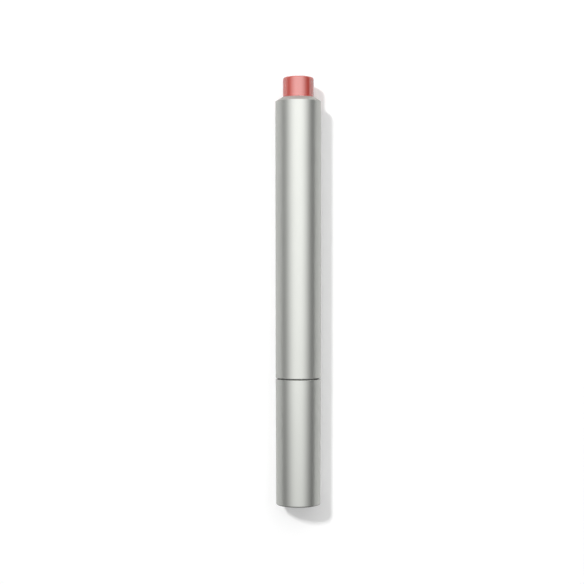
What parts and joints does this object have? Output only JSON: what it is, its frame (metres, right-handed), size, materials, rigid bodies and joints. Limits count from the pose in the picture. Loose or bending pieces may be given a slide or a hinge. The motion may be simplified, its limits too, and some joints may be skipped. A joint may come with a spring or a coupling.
{
  "type": "click-dispenser cosmetic pen",
  "caption": "Slim metal click pen for a liquid nail treatment: pull-off cap over a brush, tubular barrel, ratchet screw feed and rear push button.",
  "frame": {"origin": "centre of the cap's flat end, on which the pen stands", "axes": "+Z along the pen's axis, from the cap's flat end to the push button; the button's keys lie along X and the flats of the screw rod face Y"},
  "size_m": [0.0132, 0.0132, 0.1227],
  "materials": {
    "sleeve_metal": "satin anodised silver",
    "button_plastic": "satin coral",
    "white_plastic": "moulded, satin white",
    "natural_plastic": "moulded, natural and slightly translucent",
    "acetal": "moulded, smooth",
    "seal_rubber": "black, smooth",
    "steel": "drawn wire and tube",
    "bristle_nylon": "fine nylon filament"
  },
  "bodies": {
    "barrel": {"barrel_sleeve": "sleeve_metal", "reservoir": "natural_plastic", "nozzle": "white_plastic", "nozzle_seal": "seal_rubber", "feed_tube": "steel", "brush_ferrule": "white_plastic", "brush_bristles": "bristle_nylon", "thread_collar": "acetal", "mechanism_housing": "white_plastic", "fixed_cam": "acetal", "tail_guide": "acetal", "return_spring": "steel"},
    "cap": {"cap_sleeve": "sleeve_metal", "cap_liner": "white_plastic"},
    "button": {"push_button": "button_plastic", "button_cam": "acetal", "thrust_washer": "steel"},
    "rotor": {"ratchet_rotor": "acetal"},
    "piston": {"piston": "natural_plastic", "piston_seal_front": "seal_rubber", "piston_seal_rear": "seal_rubber"},
    "rod": {"screw_rod": "acetal"}
  },
  "joints": [
    {"name": "cap_pull", "type": "slide", "parent": "barrel", "child": "cap", "axis": [0, 0, -1], "range_m": [0, 0.036]},
    {"name": "button_press", "type": "slide", "parent": "barrel", "child": "button", "axis": [0, 0, -1], "range_m": [0, 0.002], "stiffness_N_per_m": 490, "springref_m": -0.0066, "deforming": ["return_spring"]},
    {"name": "rotor_turn", "type": "hinge", "parent": "button", "child": "rotor", "pos_m": [0, 0, 0.098], "axis": [0, 0, -1], "range_deg": [0, 3600]},
    {"name": "piston_feed", "type": "slide", "parent": "barrel", "child": "piston", "axis": [0, 0, -1], "range_m": [0, 0.03]},
    {"name": "rod_turn", "type": "hinge", "parent": "piston", "child": "rod", "pos_m": [0, 0, 0.075], "axis": [0, 0, -1], "range_deg": [0, 3600]}
  ],
  "couplings": [
    {"joint": "rotor_turn", "follows": "piston_feed", "rad_per_m": 2094.4},
    {"joint": "rod_turn", "follows": "piston_feed", "rad_per_m": 2094.4}
  ]
}
